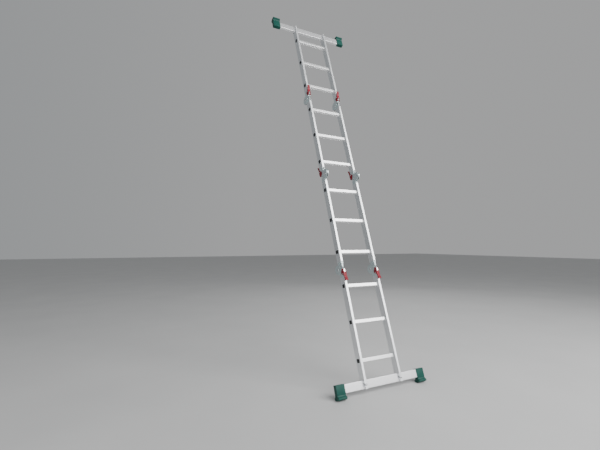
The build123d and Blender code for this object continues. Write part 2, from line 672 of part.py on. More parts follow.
def lever_springs(hinge):
    """The springs round the levers' pins: each coil as a plain sleeve, with its two legs."""
    ring = Vector(0, (SPRING_COIL_RADIUS + SPRING_COIL_BORE) / 2)
    blade_u, blade_proud = LEVER_OUTLINE[3]
    under_blade = FACE_V + blade_proud - LEVER_SKIN - 2 * SPRING_WIRE_RADIUS
    guide = GUIDES[3]
    upper_leg = (FULCRUM + ring, Vector(blade_u, under_blade))
    lower_leg = (FULCRUM - ring, guide + Vector(GUIDE_RADIUS + 2 * SPRING_WIRE_RADIUS, 0))
    with BuildPart() as springs:
        for side in SIDES.values():
            plane = hinge_plane(hinge, side * STILE_X)
            with BuildSketch(plane):
                with Locations((FULCRUM.X, FULCRUM.Y)):
                    Circle(SPRING_COIL_RADIUS)
                    Circle(SPRING_COIL_BORE, mode=Mode.SUBTRACT)
            extrude(amount=SPRING_COIL_LENGTH / 2, both=True)
            layer = SPRING_COIL_LENGTH / 2 - SPRING_WIRE_RADIUS
            for offset, (here, there) in ((layer, upper_leg), (-layer, lower_leg)):
                way = there - here
                middle = (here + there) / 2
                with BuildSketch(plane.offset(offset)):
                    with Locations(Location((middle.X, middle.Y, 0), degrees(atan2(way.Y, way.X)))):
                        Rectangle(way.length, 2 * SPRING_WIRE_RADIUS)
                extrude(amount=SPRING_WIRE_RADIUS, both=True)
    return springs


for hinge in HINGES:
    write(cheek_plates(hinge), f"{hinge.name}_hinge_cheek_plates")
    write(hinge_pins(hinge), f"{hinge.name}_hinge_pins")
    write(hinge_guards(hinge), f"{hinge.name}_hinge_guards")
    write(lever_springs(hinge), f"{hinge.name}_lever_springs")
    for side_name, side in SIDES.items():
        write(notched_plate(hinge, side), f"{hinge.name}_{side_name}_notched_plates")
        write(lock_bolt(hinge, side), f"{hinge.name}_{side_name}_lock_bolt")
        write(lever(hinge, side), f"{hinge.name}_{side_name}_lever")
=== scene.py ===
# %% [markdown]
# A multi-position ladder: four short sections of aluminium ladder, joined by three pairs of steel
# hinges that lock, with a stabiliser bar at the floor and another at the wall. The design model
# already holds every tube, plate and pin at its real size, so this lesson adds what a maker's hand
# adds: moulded feet, caps and levers, wound springs, domed rivets, and a finish for each material.

# %% Load the ladder
import json
from math import cos, pi, radians, sin, tan

import bmesh
import bpy
from mathutils import Matrix, Vector


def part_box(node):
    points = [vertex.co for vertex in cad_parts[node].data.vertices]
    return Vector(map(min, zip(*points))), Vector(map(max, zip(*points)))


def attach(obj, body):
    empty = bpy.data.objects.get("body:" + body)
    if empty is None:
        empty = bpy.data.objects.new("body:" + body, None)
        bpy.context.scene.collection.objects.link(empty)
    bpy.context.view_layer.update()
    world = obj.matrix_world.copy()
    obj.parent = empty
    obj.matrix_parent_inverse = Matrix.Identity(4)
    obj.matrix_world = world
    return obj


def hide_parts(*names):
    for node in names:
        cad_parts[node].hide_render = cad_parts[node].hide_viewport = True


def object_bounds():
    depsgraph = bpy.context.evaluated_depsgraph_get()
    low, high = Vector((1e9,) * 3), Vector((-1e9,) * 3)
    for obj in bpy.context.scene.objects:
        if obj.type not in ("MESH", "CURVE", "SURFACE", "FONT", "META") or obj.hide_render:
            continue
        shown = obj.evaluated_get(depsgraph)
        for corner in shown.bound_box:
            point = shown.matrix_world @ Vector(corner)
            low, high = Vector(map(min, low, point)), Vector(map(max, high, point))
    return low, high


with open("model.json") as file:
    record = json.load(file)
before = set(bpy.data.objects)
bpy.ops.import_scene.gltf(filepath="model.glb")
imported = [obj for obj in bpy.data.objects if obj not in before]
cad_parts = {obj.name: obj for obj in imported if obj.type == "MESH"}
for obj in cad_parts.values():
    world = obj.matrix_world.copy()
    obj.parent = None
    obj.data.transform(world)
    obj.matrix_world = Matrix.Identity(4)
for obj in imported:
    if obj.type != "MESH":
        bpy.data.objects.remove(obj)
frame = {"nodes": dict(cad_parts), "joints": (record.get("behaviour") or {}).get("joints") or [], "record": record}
cad_low, cad_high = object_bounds()
bpy.ops.object.select_all(action="DESELECT")
print("the ladder stands", round(cad_high.z, 3), "m high")

# %% [markdown]
# The ladder leans on a wall, so nothing on it is square to the floor. Measuring is easier in an
# upright frame, where Z runs up the stiles, so the lean is worked out once from two hinge pins.
# Small pieces are modelled in millimetres and brought to metres when they are fitted.

# %% The lean, and how to measure a part
MM = 0.001
joints = {joint["name"]: joint for joint in frame["joints"]}
pin_at = {name: Vector(joints[f"{name}_hinge_fold"]["pos_m"]) for name in ("lower", "middle", "upper")}
across = Vector((1, 0, 0))
along = (pin_at["upper"] - pin_at["lower"]).normalized()
outward = along.cross(across)
lean = Matrix((across, outward, along)).transposed().to_4x4() @ Matrix.Scale(MM, 4)
lean_turn = (lean.to_euler().x, 0, 0)


def solids(node):
    """The lowest and highest corner of each solid of a node, upright and in millimetres."""
    mesh = bmesh.new()
    mesh.from_mesh(frame["nodes"][node].data)
    mesh.transform(lean.inverted())
    bmesh.ops.remove_doubles(mesh, verts=mesh.verts, dist=0.002)
    left, found = set(mesh.verts), []
    while left:
        reached, island = [left.pop()], []
        while reached:
            vert = reached.pop()
            island.append(vert.co.copy())
            near = {edge.other_vert(vert) for edge in vert.link_edges} & left
            left -= near
            reached.extend(near)
        low = Vector([min(co[axis] for co in island) for axis in range(3)])
        high = Vector([max(co[axis] for co in island) for axis in range(3)])
        found.append((low, high))
    mesh.free()
    return found


bars = {level: solids(f"{level}_stabiliser_bar")[0] for level in ("lower", "upper")}
print("a bar is", [round(size) for size in bars["lower"][1] - bars["lower"][0]], "mm")

# %% [markdown]
# Every finish below is a small tree of shader nodes. Two helpers keep that short: one adds a node
# and fills its sockets, and the other starts a node group, which is a tree with named inputs and
# outputs that several finishes can share.

# %% Helpers for shader nodes


def wire(tree, kind, sockets=None, **settings):
    """Add a node, and fill its sockets with numbers or with other nodes' outputs."""
    made = tree.nodes.new(kind)
    for name, value in settings.items():
        setattr(made, name, value)
    for name, value in (sockets or {}).items():
        if isinstance(value, bpy.types.NodeSocket):
            tree.links.new(value, made.inputs[name])
        else:
            made.inputs[name].default_value = value
    return made


def start_group(name, inputs, outputs):
    """An empty node group with its sockets, ready to be filled."""
    tree = bpy.data.node_groups.new(name, "ShaderNodeTree")
    for label, kind, value in inputs:
        socket = tree.interface.new_socket(label, in_out="INPUT", socket_type=f"NodeSocket{kind}")
        socket.default_value = value
    for label, kind in outputs:
        tree.interface.new_socket(label, in_out="OUTPUT", socket_type=f"NodeSocket{kind}")
    return tree, tree.nodes.new("NodeGroupInput"), tree.nodes.new("NodeGroupOutput")


# %% [markdown]
# Aluminium is pushed through a die, and the die leaves fine lines along the whole length. They are
# noise stretched a thousand to one. A Mapping node turned with the lean makes them run up the
# stiles, and its scale says how long and how close together they are.

# %% Node group: lines left by the die
drawn_lines, given, result = start_group(
    "Drawn lines",
    [("Turn", "Vector", (0, 0, 0)), ("Size", "Vector", (0.001, 0.001, 1))],
    [("Lines", "Float"), ("Cloud", "Float")],
)
place = wire(drawn_lines, "ShaderNodeTexCoord").outputs["Object"]
stretched = wire(
    drawn_lines,
    "ShaderNodeMapping",
    {"Vector": place, "Rotation": given.outputs["Turn"], "Scale": given.outputs["Size"]},
    vector_type="TEXTURE",
)
lines = wire(drawn_lines, "ShaderNodeTexNoise", {"Vector": stretched.outputs[0], "Scale": 1, "Detail": 3})
cloud = wire(drawn_lines, "ShaderNodeTexNoise", {"Vector": place, "Scale": 9, "Detail": 4, "Roughness": 0.6})
drawn_lines.links.new(lines.outputs[0], result.inputs["Lines"])
drawn_lines.links.new(cloud.outputs[0], result.inputs["Cloud"])

# %% [markdown]
# A sheared plate or a moulded part never has a knife-sharp edge, and its edges are polished first
# by handling. The Bevel node looks a little way round each edge: its normal rounds the shading
# there, and where that normal parts from the true one, there is an edge to brighten.

# %% Node group: rounded, rubbed edges
rubbed_edges, given, result = start_group(
    "Rubbed edges", [("Radius", "Float", 0.0006)], [("Normal", "Vector"), ("Edge", "Float")]
)
rounded = wire(rubbed_edges, "ShaderNodeBevel", {"Radius": given.outputs["Radius"]}, samples=6)
flat = wire(rubbed_edges, "ShaderNodeNewGeometry").outputs["Normal"]
match = wire(rubbed_edges, "ShaderNodeVectorMath", {0: rounded.outputs[0], 1: flat}, operation="DOT_PRODUCT")
edge = wire(
    rubbed_edges,
    "ShaderNodeMapRange",
    {"Value": match.outputs["Value"], "From Min": 0.98, "From Max": 0.80, "To Min": 0, "To Max": 1},
)
rubbed_edges.links.new(rounded.outputs[0], result.inputs["Normal"])
rubbed_edges.links.new(edge.outputs[0], result.inputs["Edge"])

# %% [markdown]
# A ladder is slid in and out of vans and stood on grit, so it is scuffed. Scuffs are short and lie
# all ways: two layers of stretched noise, turned apart, of which only the highest peaks are kept.

# %% Node group: scuffs
scuffs, given, result = start_group(
    "Scuffs", [("Turn", "Vector", (0, 0, 0)), ("Share", "Float", 0.3)], [("Mask", "Float")]
)
place = wire(scuffs, "ShaderNodeTexCoord").outputs["Object"]
layers = []
for slant in (0.5, -0.9):
    turn = wire(scuffs, "ShaderNodeVectorMath", {0: given.outputs["Turn"], 1: (slant, slant / 2, slant)})
    size = {"Vector": place, "Rotation": turn.outputs[0], "Scale": (0.0012, 0.0012, 0.05)}
    turned = wire(scuffs, "ShaderNodeMapping", size, vector_type="TEXTURE")
    noise = wire(scuffs, "ShaderNodeTexNoise", {"Vector": turned.outputs[0], "Scale": 1, "Detail": 1})
    peaks = {"Value": noise.outputs[0], "From Min": 0.66, "From Max": 0.76, "To Max": 1}
    layers.append(wire(scuffs, "ShaderNodeMapRange", peaks).outputs[0])
both = wire(scuffs, "ShaderNodeMath", {0: layers[0], 1: layers[1]}, operation="MAXIMUM")
some = wire(scuffs, "ShaderNodeMath", {0: both.outputs[0], 1: given.outputs["Share"]}, operation="MULTIPLY")
scuffs.links.new(some.outputs[0], result.inputs["Mask"])

# %% [markdown]
# Moulded plastic copies the spark-eroded face of its mould, which is a fine even grain. Dust
# settles on the faces that look up and in the lowest few centimetres, where shoes bring it.

# %% Node groups: moulded grain, and dust
moulded_grain, given, result = start_group(
    "Moulded grain", [("Scale", "Float", 900)], [("Height", "Float"), ("Cloud", "Float")]
)
place = wire(moulded_grain, "ShaderNodeTexCoord").outputs["Object"]
fine = {"Vector": place, "Scale": given.outputs["Scale"], "Detail": 2}
pits = wire(moulded_grain, "ShaderNodeTexNoise", fine)
cloud = wire(moulded_grain, "ShaderNodeTexNoise", {"Vector": place, "Scale": 35, "Detail": 4})
moulded_grain.links.new(pits.outputs[0], result.inputs["Height"])
moulded_grain.links.new(cloud.outputs[0], result.inputs["Cloud"])

dust, given, result = start_group("Dust", [("Amount", "Float", 0.3)], [("Mask", "Float")])
coordinate = wire(dust, "ShaderNodeTexCoord")
facing = wire(dust, "ShaderNodeSeparateXYZ", {0: coordinate.outputs["Normal"]})
height = wire(dust, "ShaderNodeSeparateXYZ", {0: coordinate.outputs["Object"]})
looks_up = wire(dust, "ShaderNodeMapRange", {"Value": facing.outputs[2], "From Min": 0.3, "To Max": 0.7})
by_floor = {"Value": height.outputs[2], "From Min": 0.045, "From Max": 0.0, "To Max": 1}
low_down = wire(dust, "ShaderNodeMapRange", by_floor)
settled = wire(dust, "ShaderNodeMath", {0: looks_up.outputs[0], 1: low_down.outputs[0]}, operation="MAXIMUM")
patches = wire(dust, "ShaderNodeTexNoise", {"Vector": coordinate.outputs["Object"], "Scale": 60, "Detail": 6})
broken = {"Value": patches.outputs[0], "From Min": 0.38, "From Max": 0.68, "To Max": 1}
uneven = wire(dust, "ShaderNodeMapRange", broken)
laid = wire(dust, "ShaderNodeMath", {0: settled.outputs[0], 1: uneven.outputs[0]}, operation="MULTIPLY")
most = wire(dust, "ShaderNodeMath", {0: laid.outputs[0], 1: given.outputs["Amount"]}, operation="MULTIPLY")
dust.links.new(most.outputs[0], result.inputs["Mask"])
print("node groups:", [tree.name for tree in bpy.data.node_groups])

# %% [markdown]
# A metal finish puts those effects together. The lines shift the colour a little, the roughness
# more, and the surface by a hundredth of a millimetre, and rubbed edges come out brighter.


# %% One function for every metal
def shared(tree, effect, **values):
    """Place a shared node group in a material, with its own values."""
    made = tree.nodes.new("ShaderNodeGroup")
    made.node_tree = effect
    for name, value in values.items():
        made.inputs[name].default_value = value
    return made.outputs


def blend(tree, share, first, second):
    """Mix two colours by a share from 0 to 1; sockets 6 and 7 and output 2 are the node's colours."""
    sockets = {"Factor": share, 6: first, 7: second}
    return wire(tree, "ShaderNodeMix", sockets, data_type="RGBA").outputs[2]


def start_material(name):
    """A material with its shader, and nothing joined to it yet."""
    made = bpy.data.materials.new(name)
    made.use_nodes = True
    return made, made.node_tree, made.node_tree.nodes["Principled BSDF"]


def metal(name, light, dark, rough, size, turn=lean_turn, depth=0.00003, worn=0.5, scuffed=0.25):
    """A metal with lines of a given size, between two colours and two roughnesses."""
    made, tree, shader = start_material(name)
    drawn = shared(tree, drawn_lines, Turn=turn, Size=size)
    edges = shared(tree, rubbed_edges, Radius=0.0007)
    scuff = shared(tree, scuffs, Turn=turn, Share=scuffed)["Mask"]
    streak = {"Value": drawn["Lines"], "From Min": 0.3, "From Max": 0.7, "To Max": 1}
    streaks = wire(tree, "ShaderNodeMapRange", streak).outputs[0]
    both = wire(tree, "ShaderNodeMath", {0: streaks, 1: drawn["Cloud"]}, operation="MULTIPLY").outputs[0]
    body = blend(tree, both, (*light, 1), (*dark, 1))
    scuffed_body = blend(tree, scuff, body, (*[shade * 0.8 for shade in dark], 1))
    part = wire(tree, "ShaderNodeMath", {0: edges["Edge"], 1: worn}, operation="MULTIPLY").outputs[0]
    bright = (*[min(1, shade * 1.1) for shade in light], 1)
    tree.links.new(blend(tree, part, scuffed_body, bright), shader.inputs["Base Color"])
    spread = {"Value": both, "From Max": 0.6, "To Min": rough[0], "To Max": rough[1]}
    sheen = wire(tree, "ShaderNodeMapRange", spread).outputs[0]
    duller = wire(tree, "ShaderNodeMath", {0: sheen, 1: scuff}, operation="ADD").outputs[0]
    tree.links.new(duller, shader.inputs["Roughness"])
    relief = {"Height": drawn["Lines"], "Normal": edges["Normal"], "Strength": 0.6, "Distance": depth}
    tree.links.new(wire(tree, "ShaderNodeBump", relief).outputs[0], shader.inputs["Normal"])
    shader.inputs["Metallic"].default_value = 1
    return made


# %% [markdown]
# The stiles are drawn up their length and the rungs and bars across the ladder, so the same metal
# is made with its lines turned. Zinc on the hinges is bluer, and cloudy rather than lined, because
# it is plated on after the plates are stamped.

# %% The metals
finishes = {
    "stile_aluminium": metal(
        "Stile aluminium", (0.93, 0.94, 0.95), (0.76, 0.78, 0.80), (0.36, 0.50), (0.0012, 0.0012, 0.9)
    ),
    "rung_aluminium": metal(
        "Rung aluminium", (0.95, 0.95, 0.95), (0.80, 0.81, 0.82), (0.30, 0.46), (0.5, 0.0009, 0.0009)
    ),
    "bar_aluminium": metal(
        "Bar aluminium", (0.95, 0.95, 0.96), (0.80, 0.81, 0.83), (0.34, 0.48), (0.8, 0.0011, 0.0011)
    ),
    "hinge_zinc": metal(
        "Zinc-plated hinge steel", (0.82, 0.91, 0.91), (0.62, 0.73, 0.75), (0.28, 0.46),
        (0.004, 0.004, 0.006), depth=0.00005, worn=0.8,
    ),
    "lock_steel": metal(
        "Lock bolt steel", (0.95, 0.95, 0.94), (0.80, 0.80, 0.80), (0.16, 0.30), (0.0006, 0.0006, 0.02)
    ),
    "bolt_steel": metal(
        "Bolt steel", (0.78, 0.79, 0.80), (0.52, 0.54, 0.56), (0.22, 0.40), (0.002, 0.002, 0.002), worn=0.8
    ),
    "rivet_steel": metal(
        "Rivet steel", (0.80, 0.81, 0.82), (0.58, 0.60, 0.62), (0.28, 0.46), (0.002, 0.002, 0.002), worn=0.8
    ),
    "spring_steel": metal(
        "Spring steel", (0.42, 0.42, 0.43), (0.20, 0.19, 0.19), (0.25, 0.45), (0.001, 0.001, 0.004)
    ),
}
print("metals:", len(finishes))

# %% [markdown]
# Plastic has no lines. Its colour comes from pigment, so it changes only a little, edges rub paler,
# and dust dulls it. The levers are polished and the feet are matt, which is a change of roughness
# and grain.


# %% One function for every plastic, and the four of them
def plastic(name, colour, deep, rough, grain, depth, worn, dusty, coat=0.0):
    """A moulded plastic, between a colour and its deeper patches."""
    made, tree, shader = start_material(name)
    skin = shared(tree, moulded_grain, Scale=grain)
    edges = shared(tree, rubbed_edges, Radius=0.0008)
    scuff = shared(tree, scuffs, Share=worn)["Mask"]
    settled = shared(tree, dust, Amount=dusty)["Mask"]
    mottled = blend(tree, skin["Cloud"], (*colour, 1), (*deep, 1))
    pale = (*[shade * 0.8 + 0.12 for shade in colour], 1)
    part = wire(tree, "ShaderNodeMath", {0: edges["Edge"], 1: worn}, operation="MULTIPLY").outputs[0]
    rubbed = blend(tree, part, blend(tree, scuff, mottled, pale), pale)
    tree.links.new(blend(tree, settled, rubbed, (0.42, 0.40, 0.37, 1)), shader.inputs["Base Color"])
    cloudy = {"Value": skin["Cloud"], "From Min": 0.3, "From Max": 0.7}
    spread = {**cloudy, "To Min": rough[0], "To Max": rough[1]}
    sheen = wire(tree, "ShaderNodeMapRange", spread).outputs[0]
    duller = wire(tree, "ShaderNodeMath", {0: sheen, 1: settled}, operation="ADD").outputs[0]
    tree.links.new(duller, shader.inputs["Roughness"])
    relief = {"Height": skin["Height"], "Normal": edges["Normal"], "Strength": 0.5, "Distance": depth}
    tree.links.new(wire(tree, "ShaderNodeBump", relief).outputs[0], shader.inputs["Normal"])
    shader.inputs["Specular IOR Level"].default_value = 0.3
    shader.inputs["Coat Weight"].default_value = coat
    shader.inputs["Coat Roughness"].default_value = 0.08
    return made


finishes["foot_green"] = plastic(
    "Green foot plastic", (0.000, 0.080, 0.060), (0.000, 0.052, 0.040), (0.42, 0.58),
    grain=1100, depth=0.0001, worn=0.06, dusty=0.10,
)
finishes["lever_red"] = plastic(
    "Red lever plastic", (0.30, 0.000, 0.016), (0.21, 0.000, 0.011), (0.42, 0.56),
    grain=260, depth=0.00003, worn=0.03, dusty=0.0, coat=0.06,
)
finishes["plug_black"] = plastic(
    "Black plug plastic", (0.016, 0.017, 0.019), (0.010, 0.011, 0.012), (0.42, 0.60),
    grain=1200, depth=0.00008, worn=0.10, dusty=0.2,
)
# The guard's near-black is partly painted shade: besides colouring the guard, it darkens the gap between the
# hinge's plates, where shade falls.
finishes["guard_black"] = plastic(
    "Black guard plastic", (0.018, 0.018, 0.020), (0.011, 0.011, 0.012), (0.38, 0.55),
    grain=1000, depth=0.00006, worn=0.10, dusty=0.0,
)
slot_of = {part["node"]: part["material_slot"] for part in frame["record"]["subparts"]}
for node, shown in frame["nodes"].items():
    shown.data.materials.clear()
    shown.data.materials.append(finishes[slot_of[node]])
print("finishes:", len(finishes))

# %% [markdown]
# The small pieces are modelled now, one of each kind on a bench at the origin, in millimetres, and
# copied to where the design says. A part with a constant outline, such as a lever, is easiest to
# draw from the side and extrude; a round one, such as a rivet, is half a profile that is spun. The
# first helpers put a piece in edit mode, and select what the next tool is to act on.

# %% The bench: edit mode, selecting, drawing and cutting


def hold(piece):
    """Make a piece the only one selected, and the active one."""
    bpy.ops.object.select_all(action="DESELECT")
    bpy.context.view_layer.objects.active = piece
    piece.select_set(True)


def pick(kind, test):
    """In edit mode, select only the faces or edges that pass a test."""
    bpy.ops.mesh.select_mode(type="FACE" if kind == "faces" else "EDGE")
    bpy.ops.mesh.select_all(action="DESELECT")
    mesh = bmesh.from_edit_mesh(bpy.context.object.data)
    mesh.normal_update()
    for item in getattr(mesh, kind):
        if test(item):
            item.select_set(True)
    bmesh.update_edit_mesh(bpy.context.object.data)


def line(name, points):
    """A row of edges through some points, drawn by extruding one vertex, and left in edit mode."""
    bpy.ops.mesh.primitive_plane_add(size=1, location=(0, 0, 0))
    piece = bpy.context.object
    piece.name = name
    bpy.ops.object.mode_set(mode="EDIT")
    bpy.ops.mesh.select_mode(type="VERT")
    bpy.ops.mesh.select_all(action="SELECT")
    bpy.ops.mesh.merge(type="CENTER")
    bpy.ops.transform.translate(value=points[0])
    for here, there in zip(points, points[1:]):
        step = tuple(b - a for a, b in zip(here, there))
        bpy.ops.mesh.extrude_vertices_move(TRANSFORM_OT_translate={"value": step})
    bpy.ops.mesh.select_all(action="SELECT")
    return piece


def extruded(name, outline, low, high, rounding=0.0):
    """An outline in X and Y, its corners rounded, extruded from one height to another."""
    piece = line(name, [(x, y, low) for x, y in outline])
    bpy.ops.mesh.edge_face_add()
    if rounding:
        bpy.ops.mesh.bevel(offset=rounding, segments=5, affect="VERTICES")
    bpy.ops.mesh.select_all(action="SELECT")
    bpy.ops.mesh.extrude_region_move(TRANSFORM_OT_translate={"value": (0, 0, high - low)})
    bpy.ops.mesh.select_all(action="SELECT")
    bpy.ops.mesh.normals_make_consistent(inside=False)
    bpy.ops.object.mode_set(mode="OBJECT")
    return piece


def turned(name, profile, steps=32):
    """Half a profile, as radius and height, spun once round Z as on a lathe."""
    piece = line(name, [(radius, 0, height) for radius, height in profile])
    bpy.ops.mesh.spin(steps=steps, angle=2 * pi, center=(0, 0, 0), axis=(0, 0, 1))
    bpy.ops.mesh.select_all(action="SELECT")
    bpy.ops.mesh.remove_doubles(threshold=0.001)
    bpy.ops.mesh.normals_make_consistent(inside=False)
    bpy.ops.object.mode_set(mode="OBJECT")
    return piece


def block(low, high, turn=0.0):
    """A box between two corners, turned round its own middle; used to cut with."""
    middle = [(a + b) / 2 for a, b in zip(low, high)]
    size = [b - a for a, b in zip(low, high)]
    bpy.ops.mesh.primitive_cube_add(size=1, location=middle, scale=size, rotation=(0, 0, turn))
    bpy.ops.object.transform_apply()
    return bpy.context.object


def rod(radius, x, y, low, high, sides=32):
    """A straight rod along Z; used to cut with."""
    place = (x, y, (low + high) / 2)
    bpy.ops.mesh.primitive_cylinder_add(vertices=sides, radius=radius, depth=high - low, location=place)
    bpy.ops.object.transform_apply()
    return bpy.context.object


def combine(piece, tool, operation="DIFFERENCE"):
    """Cut a piece with a tool, or fuse them, and throw the tool away."""
    change = piece.modifiers.new("combine", "BOOLEAN")
    change.operation = operation
    change.object = tool
    hold(piece)
    bpy.ops.object.modifier_apply(modifier=change.name)
    bpy.data.objects.remove(tool)
    return piece


def soften(piece, width, segments=3):
    """Round every edge that is sharper than 30 degrees."""
    change = piece.modifiers.new("soften", "BEVEL")
    change.width = width
    change.segments = segments
    change.limit_method = "ANGLE"
    change.angle_limit = radians(30)
    hold(piece)
    bpy.ops.object.modifier_apply(modifier=change.name)
    return piece


# %% [markdown]
# A finished piece leaves the bench by one matrix, which scales it to metres and leans it with the
# ladder. A mirrored copy comes out inside out, so its faces are flipped. Then it takes its finish,
# rides on the body of the part that it stands for, and is measured against that part.

# %% Fitting a piece to the ladder
body_of = {
    node: body for body, nodes in frame["record"]["behaviour"]["bodies"].items() for node in nodes
}


def placed(piece, place):
    """A copy of a piece with a mesh of its own, brought to a place."""
    made = piece.copy()
    made.data = piece.data.copy()
    bpy.context.scene.collection.objects.link(made)
    made.data.transform(place)
    if place.determinant() < 0:
        made.data.flip_normals()
    return made


def joined(pieces, name):
    """Several pieces as one."""
    hold(pieces[0])
    for piece in pieces:
        piece.select_set(True)
    bpy.ops.object.join()
    pieces[0].name = name
    return pieces[0]


def fit(piece, name, node, body=None):
    """Finish a placed piece that stands for a node, and return how far their boxes differ, in mm."""
    hold(piece)
    piece.name = name
    piece.data.name = name
    bpy.ops.object.shade_smooth_by_angle(angle=radians(35))
    piece.data.materials.clear()
    piece.data.materials.append(finishes[slot_of[node]])
    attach(piece, body or body_of[node])
    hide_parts(node)
    corners = [vert.co for vert in piece.data.vertices]
    low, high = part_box(node)
    gaps = []
    for axis in range(3):
        gaps.append(abs(min(co[axis] for co in corners) - low[axis]))
        gaps.append(abs(max(co[axis] for co in corners) - high[axis]))
    return round(max(gaps) / MM, 2)


def frame_of(x_way, y_way, z_way, origin=(0, 0, 0)):
    """A matrix from the bench to the upright frame: where X, Y and Z go, and where the origin goes."""
    turn = Matrix((x_way, y_way, z_way)).transposed().to_4x4()
    return Matrix.Translation(origin) @ turn


X, Y, Z = Vector((1, 0, 0)), Vector((0, 1, 0)), Vector((0, 0, 1))
bar_middle = {level: (low.z + high.z) / 2 for level, (low, high) in bars.items()}
print("bodies:", len(set(body_of.values())))

# %% [markdown]
# A foot is one moulding: a deep sleeve pushed on the end of the bar, a short neck, and a pad that
# flares wider so that it can't tip. Its sole has three facets, so that one of them is flat on the
# floor at the ladder's lean. All of that is one outline seen from the end of the bar, so it is
# drawn once and extruded; the pocket and the tread grooves are cut afterwards.

# %% Model one foot
FOOT_START, FOOT_END = 329.0, 400.0
SLEEVE_HALF, PAD_HALF, SOLE_HALF = 16.0, 28.0, 10.0
flare = [(PAD_HALF, 22.8), (21.8, 25.6), (17.8, 29.6), (15.4, 34.2), (14.5, 38.8)]
half = [(SOLE_HALF, 3.64), (PAD_HALF, 10.19), *flare, (SLEEVE_HALF, 39.6), (SLEEVE_HALF, 104.5)]
outline = half + [(-y, z) for y, z in reversed(half)]
foot = extruded("foot", outline, FOOT_START, FOOT_END)

END_RIM, END_DISH = 2.6, 0.7
hold(foot)
bpy.ops.object.mode_set(mode="EDIT")
pick("faces", lambda face: face.normal.z > 0.9)
bpy.ops.mesh.inset(thickness=END_RIM, depth=0)
bpy.ops.transform.translate(value=(0, 0, -END_DISH))
bpy.ops.object.mode_set(mode="OBJECT")

TREADS, TREAD_WIDTH, TREAD_DEPTH = 6, 3.5, 2.0
LEAN_ANGLE = radians(20)  # the sole's two outer facets slope by the ladder's lean
rise = tan(LEAN_ANGLE)
edge_out = PAD_HALF + 2
tread = [(y, abs(y) * rise) for y in (-edge_out, -SOLE_HALF, SOLE_HALF, edge_out)]
tread = [(y, z - 3) for y, z in tread] + [(y, z + TREAD_DEPTH) for y, z in reversed(tread)]
pitch = (FOOT_END - FOOT_START) / (TREADS + 1)
for groove in range(1, TREADS + 1):
    start = FOOT_START + groove * pitch - TREAD_WIDTH / 2
    combine(foot, extruded("tread", tread, start, start + TREAD_WIDTH))
soften(foot, 1.3)
POCKET_HALF, POCKET_LOW, POCKET_HIGH, END_WALL = 12.7, 42.8, 101.2, 2.8
pocket = (-POCKET_HALF, POCKET_LOW, FOOT_START - 5), (POCKET_HALF, POCKET_HIGH, FOOT_END - END_WALL)
combine(foot, block(*pocket))
print("the foot has", len(foot.data.polygons), "faces")

# %% [markdown]
# The design has four feet that are mirror images, so the bench one is mirrored across the ladder,
# and end for end.

# %% Fit the four feet
across_mirror = Matrix.Scale(-1, 4, X)
both_bars = Matrix.Translation((0, 0, bar_middle["lower"] + bar_middle["upper"]))
over_mirror = both_bars @ Matrix.Scale(-1, 4, Z)
for level in ("lower", "upper"):
    for side in ("left", "right"):
        place = frame_of(Y, Z, X)
        if side == "left":
            place = across_mirror @ place
        if level == "upper":
            place = over_mirror @ place
        made = placed(foot, lean @ place)
        gap = fit(made, f"{level}_{side}_moulded_foot", f"{level}_{side}_foot")
        print(level, side, "foot differs by", gap, "mm")
bpy.data.objects.remove(foot)

# %% [markdown]
# The plug in a rung's end is a square cap with drawn-in sides and a shallow dish, on a hollow stem
# that grips inside the tube. A cube is bevelled on its upright edges, its top is drawn in and inset,
# and the stem is fused underneath.

# %% Model one rung plug, and fit them all
plug_boxes = {number: solids(f"section_{number}_rung_plugs") for number in range(1, 5)}
low, high = plug_boxes[1][0]
PLUG_SIDE, FLANGE, STEM = high.y - low.y, 2.5, 14.0
CORNER, DRAWN_IN = 3, 0.935
RIM, DISH_SLOPE, DISH = 1.4, 0.5, 0.9
STEM_HALF, STEM_HOLLOW = 11.8, 9.8
plug = block((-PLUG_SIDE / 2, -PLUG_SIDE / 2, 0), (PLUG_SIDE / 2, PLUG_SIDE / 2, FLANGE))
plug.name = "plug"
bpy.ops.object.mode_set(mode="EDIT")
pick("edges", lambda edge: abs(edge.verts[0].co.z - edge.verts[1].co.z) > 1)
bpy.ops.mesh.bevel(offset=CORNER, segments=5)
pick("faces", lambda face: face.normal.z > 0.9)
bpy.ops.transform.resize(value=(DRAWN_IN, DRAWN_IN, 1))
bpy.ops.mesh.inset(thickness=RIM)
bpy.ops.mesh.inset(thickness=DISH_SLOPE, depth=-DISH)
bpy.ops.object.mode_set(mode="OBJECT")
stem = block((-STEM_HALF, -STEM_HALF, -STEM), (STEM_HALF, STEM_HALF, 0.2))
combine(stem, block((-STEM_HOLLOW, -STEM_HOLLOW, -STEM - 1), (STEM_HOLLOW, STEM_HOLLOW, -0.5)))
combine(plug, stem, "UNION")

for number, boxes in plug_boxes.items():
    copies = []
    for low, high in boxes:
        right = low.x > 0
        end = high.x - FLANGE if right else low.x + FLANGE
        origin = (end, (low.y + high.y) / 2, (low.z + high.z) / 2)
        way = frame_of(Y, Z, X, origin) if right else frame_of(Y, -Z, -X, origin)
        copies.append(placed(plug, lean @ way))
    made = joined(copies, f"section_{number}_end_plugs")
    gap = fit(made, f"section_{number}_end_plugs", f"section_{number}_rung_plugs")
    print("section", number, "plugs differ by", gap, "mm")
bpy.data.objects.remove(plug)

# %% [markdown]
# A rivet is set by squeezing its ends into domes, and a guide pin is a plain pin with broken edges.
# Both are round, so each is half a profile, spun. Their places are read from the design: a rivet's
# box is wider than a guide pin's.

